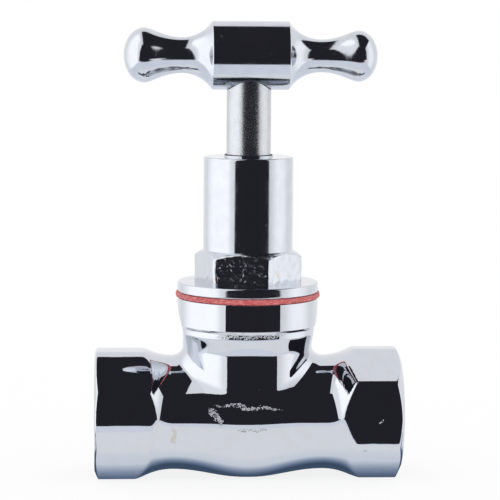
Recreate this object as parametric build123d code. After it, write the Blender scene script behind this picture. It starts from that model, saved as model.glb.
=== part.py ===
from build123d import *
from math import acos, asin, cos, degrees, pi, radians, sin, tan
import os

# Chrome-plated brass stopcock: a screw-down valve with female pipe threads and a tee handle.
# Millimetres. The pipe runs along X with the outlet at +X, the spindle stands along Z over the
# origin, and the valve stands on z = 0. It is drawn fully open, as the handle stands highest.

# Pipe ends of the body
body_length = 63.0
end_across_flats = 26.0
end_hub_length = 16.0
left_edge_radius = 0.6
right_edge_radius = 1.6
end_face_radius = 11.9
end_chamfer_length = 0.8
flare_radius = 10.6
flare_overhang = 0.5

# Directions that the ground flats of the pipe ends face, in degrees above the front's horizontal.
# They are uneven, as hand grinding leaves them, and the back of each end mirrors its front.
left_upper_flat_angle = 55.0
left_front_flat_angle = -4.5
right_upper_flat_angle = 63.0
right_front_flat_angle = 0.0
lower_flat_angle = -42.0
right_top_rise = 0.4

# Pipe sockets, bored to the major diameter of a half-inch pipe thread
socket_radius = 10.4775
socket_depth = 13.0
socket_mouth_chamfer = 0.6

# Barrel of the body
belly_overhang = 0.4
waist_radius = 11.8

# Neck and collar that the bonnet screws into
collar_top_above_axis = 24.2
collar_wall = 3.4
collar_band_height = 5.6
collar_edge_chamfer = 0.2
ledge_width = 0.4
ledge_band_height = 1.3
neck_taper_height = 3.5
neck_taper_slope = 0.3
neck_wall = 2.15
neck_fillet_radius = 2.6
neck_seam_turn = 135.0

# Tapers ground on the collar's two sides, above the pipe
side_taper_start = 2.8
side_taper_height = 4.4
side_taper_slope = 0.25
side_taper_lead_in = 1.0
side_taper_foot = 5.5
side_taper_reach = 20.0

# Waterway through the body
bore_radius = 8.0
passage_width = 11.5
passage_corner_radius = 3.5
passage_overlap = 1.0
lower_passage_height = 8.2
upper_passage_height = 8.0
bridge_thickness = 2.3
bridge_top_above_axis = 0.8
bridge_wall = 2.0
chamber_radius = 9.5
chamber_top_above_axis = 15.0

# Seat on the bridge
seat_hole_radius = 5.5
seat_ring_radius = 7.4
seat_ring_height = 1.2

# Bonnet
bonnet_thread_radius = 11.0
bonnet_thread_length = 9.2
bonnet_thread_chamfer = 0.6
flange_thickness = 2.1
flange_edge_chamfer = 0.3
hexagon_across_flats = 19.5
hexagon_height = 6.6
hexagon_turn = -8.8
hexagon_chamfer_angle = 38.0
barrel_radius = 9.2
barrel_length = 19.1
barrel_edge_chamfer = 0.3
mouth_lip_width = 0.15
mouth_lip_height = 0.3
nose_bore_radius = 7.0
nose_bore_depth = 5.0
gland_length = 14.0

# Fibre washer under the flange
washer_thickness = 1.0
washer_overhang = 0.45
washer_clearance = 0.2

# Spindle
stem_radius = 4.55
stem_showing = 13.6
spindle_thread_radius = 5.9
spindle_nose_radius = 5.0
spindle_nose_length = 7.5
spindle_edge_chamfer = 0.4
thread_lead = 2.0
turns_to_close = 2.5

# Rubber rings on the stem and in the bonnet's mouth
seal_groove_depth = 1.35
seal_groove_width = 1.9
upper_seal_depth = 3.2
seal_spacing = 3.4
dust_seal_width = 0.3
dust_seal_depth = 1.6
dust_seal_proud = 0.15

# Jumper, with its rubber disc, nut and peg
jumper_plate_radius = 7.2
jumper_plate_thickness = 2.0
jumper_stem_radius = 2.5
jumper_stem_length = 9.0
jumper_tail_radius = 2.0
jumper_groove_depth = 0.7
jumper_groove_width = 2.2
jumper_groove_height = 3.2
jumper_edge_chamfer = 0.3
jumper_washer_radius = 7.3
jumper_washer_thickness = 3.5
jumper_washer_chamfer = 0.4
nut_across_flats = 7.0
nut_thickness = 2.4
nut_chamfer = 0.3
peg_radius = 0.75

# Tee handle, hand finished, so its left arm is a little fuller
drum_radius = 7.0
drum_left = 7.7
drum_right = 8.2
drum_edge_chamfer = 0.2
left_neck_place = 6.0
left_knob_place = 13.7
left_arm_length = 17.9
left_neck_radius = 3.65
left_knob_radius = 5.6
right_neck_place = 6.5
right_knob_place = 14.2
right_arm_length = 18.1
right_neck_radius = 3.35
right_knob_radius = 5.2
arm_swell_start = 0.5
arm_swell_end = 0.78
handle_hole_depth = 11.0
handle_mouth_gap = 0.25
handle_mouth_depth = 2.6

# Clearances
thread_clearance = 0.05
running_clearance = 0.05
press_clearance = 0.01
jumper_hole_clearance = 0.1
jumper_play = 0.15
seat_gap = 0.05
stop_gap = 0.3

# Places and radii that follow from the sizes above
axis_height = end_across_flats / 2
half_length = body_length / 2
waist_place = half_length - end_hub_length
flat_reach = end_across_flats / 2
left_flats = (
    (90, flat_reach),
    (left_upper_flat_angle, flat_reach),
    (left_front_flat_angle, flat_reach),
    (lower_flat_angle, flat_reach),
    (-90, flat_reach),
)
right_flats = (
    (90, flat_reach + right_top_rise),
    (right_upper_flat_angle, flat_reach),
    (right_front_flat_angle, flat_reach),
    (lower_flat_angle, flat_reach),
    (-90, flat_reach),
)
neck_radius = bonnet_thread_radius + thread_clearance + neck_wall
belly_radius = neck_radius + belly_overhang
collar_radius = bonnet_thread_radius + thread_clearance + collar_wall
collar_top = axis_height + collar_top_above_axis
flange_bottom = collar_top + washer_thickness
flange_top = flange_bottom + flange_thickness
hexagon_top = flange_top + hexagon_height
barrel_top = hexagon_top + barrel_length
mouth_top = barrel_top + mouth_lip_height
bonnet_bottom = flange_bottom - bonnet_thread_length
gland_bottom = barrel_top - gland_length
gland_radius = stem_radius + running_clearance
dust_seal_radius = gland_radius + dust_seal_width
dust_seal_bottom = mouth_top - dust_seal_depth
seal_groove_radius = stem_radius - seal_groove_depth
upper_seal_height = barrel_top - upper_seal_depth
lower_seal_height = upper_seal_height - seal_spacing
chamber_wall_place = chamber_radius + bridge_wall
chamber_top = axis_height + chamber_top_above_axis
bridge_top = axis_height + bridge_top_above_axis
bridge_bottom = bridge_top - bridge_thickness
lower_passage_bottom = bridge_bottom - lower_passage_height
seat_top = bridge_top + seat_ring_height
jumper_washer_bottom = seat_top + seat_gap + thread_lead * turns_to_close
plate_bottom = jumper_washer_bottom + jumper_washer_thickness
plate_top = plate_bottom + jumper_plate_thickness
groove_middle = plate_top + jumper_groove_height
groove_radius = jumper_stem_radius - jumper_groove_depth
spindle_bottom = plate_top + jumper_play
nose_top = spindle_bottom + spindle_nose_length
spindle_shoulder = gland_bottom - stop_gap
handle_axis = barrel_top + stem_showing + drum_radius
stem_top = handle_axis - drum_radius + handle_hole_depth

pipe_axis = Axis((0, 0, axis_height), (1, 0, 0))
on_pipe_axis = Plane.XZ * Pos(0, axis_height)


def turned(points):
    """Solid turned about the spindle's axis from a closed outline of radii and heights."""
    return revolve(Plane.XZ * make_face(Polyline(*points, close=True)), Axis.Z)


def turned_on_pipe(points):
    """Solid turned about the pipe's axis from a closed outline of places on X and radii."""
    return revolve(on_pipe_axis * make_face(Polyline(*points, close=True)), pipe_axis)


def ring(inner, outer, bottom, top):
    """Ring about the spindle's axis between two heights."""
    return turned(((inner, bottom), (outer, bottom), (outer, top), (inner, top)))


def end_corners(front_flats):
    """Corners of the many-sided section of a pipe end, where each flat meets the next one round."""
    front = [(radians(180 - angle), reach) for angle, reach in front_flats]
    back = [(radians(360 + angle), reach) for angle, reach in reversed(front_flats[:-1])]
    faces = front + back
    corners = []
    for (one, near), (other, far) in zip(faces, faces[1:]):
        across = near * sin(other) - far * sin(one)
        up = far * cos(one) - near * cos(other)
        corners.append(Vector(across, up) / sin(other - one))
    return corners


def pipe_run():
    """Outside of the pipe run: a belly, a waist each side, and ends that flare past the flats' corners."""
    corner_radius = max(corner.length for corner in end_corners(left_flats) + end_corners(right_flats))
    rim_radius = corner_radius + flare_overhang
    flare_angle = degrees(acos(1 - (rim_radius - waist_radius) / flare_radius))
    chamfer_slope = end_chamfer_length / (corner_radius - end_face_radius)
    rim_end = half_length - chamfer_slope * (rim_radius - end_face_radius)
    left_waist = (-waist_place, waist_radius)
    right_waist = (waist_place, waist_radius)
    belly = Spline(left_waist, (0, belly_radius), right_waist, tangents=((1, 0), (1, 0)))
    flare = JernArc(right_waist, (1, 0), flare_radius, flare_angle)
    end = Polyline(flare @ 1, (rim_end, rim_radius), (half_length, end_face_radius), (half_length, 0))
    right_end = [flare, *end.edges()]
    left_end = [edge.mirror(Plane.YZ) for edge in right_end]
    middle_line = Line((-half_length, 0), (half_length, 0))
    outline = make_face([belly, middle_line, *right_end, *left_end])
    return revolve(on_pipe_axis * mirror(outline, Plane.XZ), pipe_axis)


def flats_trim(front_flats, edge_radius, start):
    """What is ground off a pipe end to leave its eight flats, with their edges eased."""
    outline = make_face(Polyline(*end_corners(front_flats), close=True))
    outline = fillet(outline.vertices(), edge_radius)
    section = Rectangle(2 * end_across_flats, 2 * end_across_flats) - outline
    return extrude(Plane.YZ.offset(start) * Pos(0, axis_height) * section, end_hub_length)


def side_taper(side):
    """What is ground off one side of the collar, above the pipe."""
    top = collar_top - side_taper_start
    foot = top - side_taper_height
    points = (
        (side * (collar_radius + side_taper_slope * side_taper_lead_in), top + side_taper_lead_in),
        (side * (collar_radius - side_taper_slope * side_taper_height), foot),
        (side * (collar_radius - side_taper_slope * side_taper_height), foot - side_taper_foot),
        (side * side_taper_reach, foot - side_taper_foot),
        (side * side_taper_reach, top + side_taper_lead_in),
    )
    return extrude(Plane.XZ * make_face(Polyline(*points, close=True)), collar_radius, both=True)


def neck_and_collar():
    """Outside of the neck above the pipe run, with its ledge and the band that carries the washer."""
    ledge = collar_top - collar_band_height
    taper_top = ledge - ledge_width - ledge_band_height
    taper_bottom = taper_top - neck_taper_height
    slopes = ((0, 1), (neck_taper_slope, 1))
    taper = Spline((neck_radius, taper_bottom), (collar_radius - ledge_width, taper_top), tangents=slopes)
    rest = Polyline(
        taper @ 1,
        (collar_radius - ledge_width, ledge - ledge_width),
        (collar_radius, ledge),
        (collar_radius, collar_top - collar_edge_chamfer),
        (collar_radius - collar_edge_chamfer, collar_top),
        (0, collar_top),
        (0, axis_height),
        (neck_radius, axis_height),
        taper @ 0,
    )
    outline = make_face([taper, *rest.edges()])
    turned_neck = Rot(0, 0, neck_seam_turn) * revolve(Plane.XZ * outline, Axis.Z)
    return turned_neck - side_taper(-1) - side_taper(1)


def pipe_hollow(side):
    """Socket and bore of the pipe end on one side of X."""
    socket_bottom = half_length - socket_depth
    return turned_on_pipe(
        (
            (side * half_length, 0),
            (side * half_length, socket_radius + socket_mouth_chamfer),
            (side * (half_length - socket_mouth_chamfer), socket_radius),
            (side * socket_bottom, socket_radius),
            (side * socket_bottom, bore_radius),
            (side * chamber_wall_place, bore_radius),
            (side * chamber_wall_place, 0),
        )
    )


def passage(start, end, bottom, height):
    """Oval waterway along X between two places."""
    section = RectangleRounded(passage_width, height, passage_corner_radius)
    return extrude(Plane.YZ.offset(start) * Pos(0, bottom + height / 2) * section, end - start)


def waterway():
    """The body's hollow: both pipe ends, a passage under the bridge, one over it, and the chamber."""
    meeting = chamber_wall_place + passage_overlap
    under = passage(-meeting, chamber_radius - bridge_wall, lower_passage_bottom, lower_passage_height)
    over = passage(seat_ring_radius, meeting, bridge_top, upper_passage_height)
    thread = bonnet_thread_radius + thread_clearance
    chamber = turned(
        (
            (0, bridge_bottom - passage_overlap),
            (seat_hole_radius, bridge_bottom - passage_overlap),
            (seat_hole_radius, seat_top),
            (seat_ring_radius, seat_top),
            (seat_ring_radius, bridge_top),
            (chamber_radius, bridge_top),
            (chamber_radius, chamber_top),
            (thread, chamber_top),
            (thread, collar_top - bonnet_thread_chamfer),
            (thread + bonnet_thread_chamfer, collar_top),
            (0, collar_top),
        )
    )
    return pipe_hollow(-1) + pipe_hollow(1) + under + over + chamber


def valve_body():
    """One casting: the pipe run with its flats, the neck and collar, and the seat on its bridge."""
    run = pipe_run()
    neck = neck_and_collar()
    outside = run + neck
    outside = fillet(new_edges(run, neck, combined=outside), neck_fillet_radius)
    ground_off = Pos(0, 0, -axis_height) * Box(body_length, end_across_flats, end_across_flats)
    left_trim = flats_trim(left_flats, left_edge_radius, -half_length)
    right_trim = flats_trim(right_flats, right_edge_radius, waist_place)
    return outside - left_trim - right_trim - ground_off - waterway()


def bonnet():
    """One piece: the thread below the flange, the hexagon with its turned top, and the long barrel."""
    corner_radius = hexagon_across_flats / 2 / cos(pi / 6)
    chamfer_drop = (corner_radius - barrel_radius) * tan(radians(hexagon_chamfer_angle))
    flats = RegularPolygon(hexagon_across_flats / 2, 6, major_radius=False, rotation=hexagon_turn)
    turned_top = turned(
        (
            (0, flange_top),
            (corner_radius, flange_top),
            (corner_radius, hexagon_top - chamfer_drop),
            (barrel_radius, hexagon_top),
            (0, hexagon_top),
        )
    )
    hexagon = extrude(Pos(0, 0, flange_top) * flats, hexagon_height) & turned_top
    mouth_radius = dust_seal_radius + mouth_lip_width
    rounds = turned(
        (
            (0, bonnet_bottom),
            (bonnet_thread_radius - bonnet_thread_chamfer, bonnet_bottom),
            (bonnet_thread_radius, bonnet_bottom + bonnet_thread_chamfer),
            (bonnet_thread_radius, flange_bottom),
            (collar_radius - flange_edge_chamfer, flange_bottom),
            (collar_radius, flange_bottom + flange_edge_chamfer),
            (collar_radius, flange_top - flange_edge_chamfer),
            (collar_radius - flange_edge_chamfer, flange_top),
            (barrel_radius, flange_top),
            (barrel_radius, barrel_top - barrel_edge_chamfer),
            (barrel_radius - barrel_edge_chamfer, barrel_top),
            (mouth_radius, barrel_top),
            (mouth_radius, mouth_top),
            (0, mouth_top),
        )
    )
    thread = spindle_thread_radius + thread_clearance
    hollow = turned(
        (
            (0, bonnet_bottom),
            (nose_bore_radius, bonnet_bottom),
            (nose_bore_radius, bonnet_bottom + nose_bore_depth),
            (thread, bonnet_bottom + nose_bore_depth),
            (thread, gland_bottom),
            (gland_radius, gland_bottom),
            (gland_radius, dust_seal_bottom),
            (dust_seal_radius, dust_seal_bottom),
            (dust_seal_radius, mouth_top),
            (0, mouth_top),
        )
    )
    return hexagon + rounds - hollow


def bonnet_washer():
    """Flat fibre ring squeezed between the collar and the flange."""
    inner = bonnet_thread_radius + washer_clearance
    outer = collar_radius + washer_overhang
    return ring(inner, outer, collar_top, flange_bottom)


def peg_hole(radius):
    """Cross hole through one wall of the spindle's nose, in line with the jumper's groove."""
    start, end = groove_radius + running_clearance, spindle_nose_radius
    return Pos((start + end) / 2, 0, groove_middle) * Rot(0, 90, 0) * Cylinder(radius, end - start)


def spindle():
    """Nose bored for the jumper, a thread above it, and a plain stem with two grooves for rubber rings."""
    hole = jumper_stem_radius + jumper_hole_clearance
    hole_top = plate_top + jumper_stem_length + jumper_play
    bar = turned(
        (
            (hole, spindle_bottom),
            (spindle_nose_radius - spindle_edge_chamfer, spindle_bottom),
            (spindle_nose_radius, spindle_bottom + spindle_edge_chamfer),
            (spindle_nose_radius, nose_top),
            (spindle_thread_radius, nose_top + spindle_edge_chamfer),
            (spindle_thread_radius, spindle_shoulder - spindle_edge_chamfer),
            (spindle_thread_radius - spindle_edge_chamfer, spindle_shoulder),
            (stem_radius, spindle_shoulder),
            (stem_radius, stem_top - spindle_edge_chamfer),
            (stem_radius - spindle_edge_chamfer, stem_top),
            (0, stem_top),
            (0, hole_top),
            (hole, hole_top),
        )
    )
    half_width = seal_groove_width / 2
    for height in (upper_seal_height, lower_seal_height):
        bar -= ring(seal_groove_radius, stem_radius, height - half_width, height + half_width)
    return bar - peg_hole(peg_radius)


def spindle_o_ring(height):
    """Rubber ring that fills a groove of the stem."""
    section_radius = (seal_groove_depth - press_clearance) / 2
    return Pos(0, 0, height) * Torus(stem_radius - section_radius, section_radius)


def dust_seal():
    """Thin rubber ring in the bonnet's mouth, standing a little proud of its lip."""
    top = mouth_top + dust_seal_proud
    return ring(gland_radius, dust_seal_radius - press_clearance, dust_seal_bottom, top)


def jumper():
    """Brass plate with a grooved stem above it and a threaded tail below it."""
    tail_end = jumper_washer_bottom - nut_thickness - jumper_edge_chamfer
    stem_end = plate_top + jumper_stem_length
    groove_bottom = groove_middle - jumper_groove_width / 2
    groove_top = groove_middle + jumper_groove_width / 2
    return turned(
        (
            (0, tail_end),
            (jumper_tail_radius - jumper_edge_chamfer, tail_end),
            (jumper_tail_radius, tail_end + jumper_edge_chamfer),
            (jumper_tail_radius, plate_bottom),
            (jumper_plate_radius, plate_bottom),
            (jumper_plate_radius, plate_top - jumper_edge_chamfer),
            (jumper_plate_radius - jumper_edge_chamfer, plate_top),
            (jumper_stem_radius, plate_top),
            (jumper_stem_radius, groove_bottom),
            (groove_radius, groove_bottom),
            (groove_radius, groove_top),
            (jumper_stem_radius, groove_top),
            (jumper_stem_radius, stem_end - jumper_edge_chamfer),
            (jumper_stem_radius - jumper_edge_chamfer, stem_end),
            (0, stem_end),
        )
    )


def jumper_washer():
    """Rubber disc that closes the seat, with its edges eased."""
    hole = jumper_tail_radius + thread_clearance
    return turned(
        (
            (hole, jumper_washer_bottom),
            (jumper_washer_radius - jumper_washer_chamfer, jumper_washer_bottom),
            (jumper_washer_radius, jumper_washer_bottom + jumper_washer_chamfer),
            (jumper_washer_radius, plate_bottom - jumper_washer_chamfer),
            (jumper_washer_radius - jumper_washer_chamfer, plate_bottom),
            (hole, plate_bottom),
        )
    )


def jumper_nut():
    """Small hexagon nut under the rubber disc, with its lower corners turned off."""
    hole = jumper_tail_radius + thread_clearance
    corner_radius = nut_across_flats / 2 / cos(pi / 6)
    bottom, top = jumper_washer_bottom - nut_thickness, jumper_washer_bottom
    flats = RegularPolygon(nut_across_flats / 2, 6, major_radius=False)
    rounds = turned(
        (
            (hole, bottom),
            (corner_radius - nut_chamfer, bottom),
            (corner_radius, bottom + nut_chamfer),
            (corner_radius, top),
            (hole, top),
        )
    )
    return extrude(Pos(0, 0, bottom) * flats, nut_thickness) & rounds


def jumper_peg():
    """Short pin in the spindle's nose that reaches into the jumper's groove."""
    nose = ring(groove_radius, spindle_nose_radius - press_clearance, spindle_bottom, nose_top)
    return peg_hole(peg_radius - press_clearance) & nose


def handle_arm(neck_place, knob_place, length, neck_size, knob_size):
    """One arm along +X from the drum's end: a hollow sweep, a slim neck and a rounded knob."""
    rise = drum_radius - drum_edge_chamfer - neck_size
    sweep_radius = (neck_place**2 + rise**2) / (2 * rise)
    sweep_angle = degrees(asin(neck_place / sweep_radius))
    sweep = JernArc((neck_place, neck_size), (-1, 0), sweep_radius, -sweep_angle)
    reach = knob_place - neck_place
    swell = Bezier(
        (neck_place, neck_size),
        (neck_place + arm_swell_start * reach, neck_size),
        (neck_place + arm_swell_end * reach, knob_size),
        (knob_place, knob_size),
    )
    tip = EllipticalCenterArc((knob_place, 0), length - knob_place, knob_size, start_angle=0, arc_size=90)
    middle_line = Polyline((length, 0), (0, 0), sweep @ 1)
    return revolve(Plane.XZ * make_face([sweep, swell, tip, *middle_line.edges()]), Axis.X)


def tee_handle():
    """One turned bar, bored from below for the stem, with the mouth of the hole opened out."""
    right_arm = handle_arm(
        right_neck_place, right_knob_place, right_arm_length, right_neck_radius, right_knob_radius
    )
    left_arm = handle_arm(
        left_neck_place, left_knob_place, left_arm_length, left_neck_radius, left_knob_radius
    )
    drum_end_radius = drum_radius - drum_edge_chamfer
    drum_outline = Polyline(
        (-drum_left, 0),
        (-drum_left, drum_end_radius),
        (-drum_left + drum_edge_chamfer, drum_radius),
        (drum_right - drum_edge_chamfer, drum_radius),
        (drum_right, drum_end_radius),
        (drum_right, 0),
        close=True,
    )
    drum = revolve(Plane.XZ * make_face(drum_outline), Axis.X)
    bar = drum + Pos(drum_right, 0, 0) * right_arm + Pos(-drum_left, 0, 0) * Rot(0, 0, 180) * left_arm
    drum_bottom = handle_axis - drum_radius
    hole = ring(0, stem_radius + press_clearance, drum_bottom, stem_top)
    mouth = ring(0, stem_radius + handle_mouth_gap, drum_bottom, drum_bottom + handle_mouth_depth)
    return Pos(0, 0, handle_axis) * bar - hole - mouth


pieces = {
    "valve_body": valve_body(),
    "bonnet": bonnet(),
    "bonnet_washer": bonnet_washer(),
    "spindle": spindle(),
    "tee_handle": tee_handle(),
    "dust_seal": dust_seal(),
    "upper_spindle_o_ring": spindle_o_ring(upper_seal_height),
    "lower_spindle_o_ring": spindle_o_ring(lower_seal_height),
    "jumper": jumper(),
    "jumper_washer": jumper_washer(),
    "jumper_nut": jumper_nut(),
    "jumper_peg": jumper_peg(),
}

os.makedirs("parts", exist_ok=True)
for name, solid in pieces.items():
    export_step(solid, f"parts/{name}.step")
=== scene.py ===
"""Looks of a chrome-plated stopcock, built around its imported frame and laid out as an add-on."""

import math

import bmesh
import bpy
from mathutils import Matrix, Vector, geometry, noise


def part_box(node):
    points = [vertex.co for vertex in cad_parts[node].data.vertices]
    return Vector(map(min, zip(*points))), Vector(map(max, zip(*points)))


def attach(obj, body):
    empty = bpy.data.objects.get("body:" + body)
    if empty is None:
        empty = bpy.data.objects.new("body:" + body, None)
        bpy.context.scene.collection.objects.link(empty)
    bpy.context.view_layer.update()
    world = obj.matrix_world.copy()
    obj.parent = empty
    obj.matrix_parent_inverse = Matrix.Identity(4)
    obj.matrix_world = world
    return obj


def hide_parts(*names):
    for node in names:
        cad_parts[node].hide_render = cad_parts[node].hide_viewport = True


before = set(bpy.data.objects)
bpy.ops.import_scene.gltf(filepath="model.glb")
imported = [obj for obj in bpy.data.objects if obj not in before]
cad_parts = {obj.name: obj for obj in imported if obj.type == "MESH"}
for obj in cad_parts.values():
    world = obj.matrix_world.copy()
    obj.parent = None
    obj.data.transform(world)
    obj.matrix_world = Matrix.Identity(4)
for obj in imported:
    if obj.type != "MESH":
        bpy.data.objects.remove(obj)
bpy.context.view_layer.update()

bl_info = {
    "name": "Stopcock looks",
    "version": (1, 0, 0),
    "blender": (4, 5, 0),
    "location": "3D View > Sidebar > Stopcock",
    "description": "Dresses the packed stopcock in cast, turned and forged pieces and sets its stage",
    "category": "Object",
}

MM = 0.001

# Boxes of the pieces that the frame gives, in metres
BODY_LOW, BODY_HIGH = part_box("valve_body")
BONNET_LOW, BONNET_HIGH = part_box("bonnet")
WASHER_LOW, WASHER_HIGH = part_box("bonnet_washer")
HANDLE_LOW, HANDLE_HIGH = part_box("tee_handle")

# Cast body, in millimetres and radians
PIPE_AXIS = 13.0
HALF_LENGTH = BODY_HIGH.x / MM
COLLAR_TOP = BODY_HIGH.z / MM
BELLY_RADIUS = 13.6
WAIST_RADIUS = 11.8
WAIST_PLACE = 15.5
LONG_FLARE = 13.0
TIGHT_FLARE = 6.0
TIGHT_FLARE_ANGLE = math.radians(15)
RIM_RADIUS = 15.75
LEFT_FACE_RADIUS = 12.2
LEFT_CHAMFER_SLOPE = 0.4
RIGHT_FACE_RADIUS = 12.0
RIGHT_CHAMFER_SLOPE = 0.5

# Flats of the ends: how far each faces up from the front, in degrees, and its distance from the pipe's axis.
# The left end's two upper ones at the front are polished round, so each is pressed in steps.
LEFT_FLATS = (
    (90.0, 13.0), (67.0, 13.26), (61.0, 13.07), (55.0, 13.0), (49.0, 13.07), (43.0, 13.26), (6.0, 13.07),
    (0.0, 13.0), (-6.0, 13.07), (-12.0, 13.26), (-42.0, 13.0), (-90.0, 13.0),
)
RIGHT_FLATS = ((90.0, 13.4), (63.0, 13.0), (0.0, 13.0), (-45.0, 13.0), (-90.0, 13.0))
LEFT_FLAT_CRISPNESS = 120
RIGHT_FLAT_CRISPNESS = 110
NECK_RADIUS = 13.2
COLLAR_RADIUS = 14.45
LEDGE = COLLAR_TOP - 5.6
LEDGE_WIDTH = 0.4
LEDGE_BAND = 1.3
NECK_TAPER = 3.5
NECK_TAPER_RISE = 1.765
NECK_TAPER_EASE = 0.765
SIDE_TAPER_TOP = COLLAR_TOP - 2.8
SIDE_TAPER_HEIGHT = 4.4
SIDE_TAPER_SLOPE = 0.25
SIDE_CRISPNESS = 120
COLLAR_CHAMFER = 0.2

# Waterway of the body, in millimetres
SOCKET_RADIUS = 10.4775
SOCKET_DEPTH = 13.0
SOCKET_CHAMFER = 0.6
BORE_RADIUS = 8.0
CHAMBER_WALL = 11.5
CHAMBER_RADIUS = 9.5
CHAMBER_TOP = 28.0
BRIDGE_TOP = 13.8
BRIDGE_BOTTOM = 11.5
SEAT_TOP = 15.0
SEAT_HOLE_RADIUS = 5.5
SEAT_RING_RADIUS = 7.4
PASSAGE_WIDTH = 11.5
PASSAGE_CORNER = 3.5
LOWER_PASSAGE_BOTTOM = 3.3
UPPER_PASSAGE_TOP = 21.8
BONNET_THREAD_RADIUS = 11.05
THREAD_CHAMFER = 0.6

# Pipe thread in the sockets, in millimetres
PIPE_THREAD_PITCH = 1.814
PIPE_THREAD_DEPTH = 1.162
PIPE_THREAD_SINK = 0.15
CREST_SHARE = 0.2

# Bonnet and washer, in millimetres and degrees, and the corners of their outlines that are eased
BONNET_BOTTOM = BONNET_LOW.z / MM
BONNET_RADIUS = 11.0
FLANGE_BOTTOM = WASHER_HIGH.z / MM
FLANGE_TOP = FLANGE_BOTTOM + 2.1
HEXAGON_TOP = FLANGE_TOP + 6.6
HEXAGON_SIDES = 6
HEXAGON_FLAT_DISTANCE = 9.75
HEXAGON_TURN = -11.5
HEXAGON_CRISPNESS = 90
HEXAGON_CHAMFER_DROP = 1.3
RIM_LIMIT = 11.5
BARREL_RADIUS = 9.2
BARREL_TOP = FLANGE_TOP + 25.7
MOUTH_RADIUS = 5.05
MOUTH_TOP = BONNET_HIGH.z / MM
DUST_SEAL_RADIUS = 4.9
DUST_SEAL_DEPTH = 1.6
GLAND_RADIUS = 4.6
GLAND_BOTTOM = BARREL_TOP - 14.0
SPINDLE_THREAD_RADIUS = 5.95
NOSE_BORE_RADIUS = 7.0
NOSE_BORE_DEPTH = 5.0
BONNET_EASING = 0.3
BONNET_EASED_CORNERS = (4, 5, 9)
WASHER_HOLE_RADIUS = 11.2
WASHER_EASING = 0.25
WASHER_EASED_CORNERS = (1, 2)
WASHER_FRAY_LENGTH = 0.9

# Tee handle, in millimetres: each arm's neck place, knob place, length, neck radius and knob radius
HANDLE_AXIS = (HANDLE_LOW.z + HANDLE_HIGH.z) / 2 / MM
DRUM_RADIUS = 7.0
DRUM_LEFT = 7.7
DRUM_RIGHT = 8.2
DRUM_CHAMFER = 0.2
LEFT_ARM = (6.0, 13.7, 17.9, 3.65, 5.6)
RIGHT_ARM = (6.5, 14.2, 18.1, 3.35, 5.2)
ARM_SWELL_START = 0.5
ARM_SWELL_END = 0.78
STEM_RADIUS = 4.55
HANDLE_MOUTH_GAP = 0.25
HANDLE_MOUTH_DEPTH = 2.6
HANDLE_HOLE_DEPTH = 11.0

# How finely the pieces are divided, in millimetres and steps round
RUN_SPACING = 0.35
RUN_END_SPACING = 0.1
RUN_END_LENGTH = 2.0
RUN_STEPS = 240
NECK_SPACING = 0.2
NECK_STEPS = 240
HOLLOW_STEPS = 96
TURNED_STEPS = 240
THREAD_STEPS = 72
WASHER_STEPS = 360
BONNET_SPACING = 0.3
WASHER_SPACING = 0.2
ARM_POINTS = 32
EASING_SEGMENTS = 4
ROUND_PROFILE = 0.5
QUAD_CORNERS = 4
PASSAGE_SEGMENTS = 6
BLEND_STEPS = 4
SLOPE_STEP = 0.01
SMALLEST_SPREAD = 0.0001
CUT_OVERRUN = 1.0
BODY_FINISHES = 2
SHARP_ANGLE = math.radians(35)

# Distances within which vertices are merged, in metres
MERGE_DISTANCE = 0.000001
JUNCTION_MERGE = 0.00005

# Marks on the plating, in millimetres and degrees: centre, reach and turn about Y
PITTED_PATCHES = (
    ((-0.6, -13.4, 16.1), (8.2, 4.0, 0.5), 4.0),
    ((-6.9, -13.0, 14.4), (0.75, 4.0, 2.3), -35.0),
    ((0.4, -13.4, 11.5), (3.6, 4.0, 0.4), 0.0),
    ((0.0, -14.0, 30.75), (9.5, 3.5, 0.62), 0.0),
    ((23.4, -12.6, 7.2), (0.45, 2.0, 0.5), 0.0),
    ((26.7, -13.0, 13.2), (0.2, 2.0, 0.7), 30.0),
)
SCUFF_PATCH = ((26.2, -7.0, 1.6), (1.7, 3.0, 0.45), 0.0)
DRIP_PATCH = ((-15.4, -11.0, 10.2), (0.55, 4.5, 2.3), 0.0)
WORN_PATCHES = (
    ((-7.0, -8.6, 41.6), (0.7, 1.5, 0.6), 0.0),
    ((1.3, -9.8, 43.9), (0.6, 1.5, 0.35), 0.0),
    ((5.7, -8.2, 42.6), (0.5, 1.5, 0.9), 0.0),
)
PATCH_CORE = 0.6
HAZE_ROUGHNESS = 0.03

# Stage that the chrome mirrors, in metres
STAND_SIDE = 0.07
STAND_FRONT = -0.045
STAND_REAR = 0.05
TABLE_HEIGHT = -0.0385
TABLE_SIDE = 0.22
TABLE_FRONT = -0.229
TABLE_REAR = 2.0
ROOM_LEFT = -0.82
ROOM_RIGHT = 2.6
ROOM_FRONT = -1.9
ROOM_FOOT = -0.6
ROOM_TOP = 2.0
ROOF_LEFT = -0.4
ROOF_REAR = 0.93
LEFT_DARK_PLACE = -0.81
LEFT_DARK_REAR = -0.8
FLOOR_REACH = 4.0
FLOOR_HEIGHT = -0.00005
FLOOR_GLOW = 0.85

# Side panels, in metres: place along X, front edge at the foot and at the top, rear edge and top
LEFT_PANEL = (-0.8, -0.81, -1.85, 0.9, ROOM_TOP)
RIGHT_PANEL = (0.9, -0.65, -0.834, 0.6, 0.85)

# Painted shadow under the object, from its middle outwards in millimetres, as shares of the way and colours
CONTACT_START = 5.0
CONTACT_END = 13.0
CONTACT_SHADOW_COLOURS = (
    (0.0, "#46586E"), (0.15, "#6F819B"), (0.3, "#A3B0C4"), (0.5, "#EEF3FA"), (1.0, "#FFFFFF"),
)

ORIGIN = Vector((0.0, 0.0, 0.0))
X_AXIS = Vector((1.0, 0.0, 0.0))
Z_AXIS = Vector((0.0, 0.0, 1.0))
PIPE_CENTRE = Z_AXIS * PIPE_AXIS * MM


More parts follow.
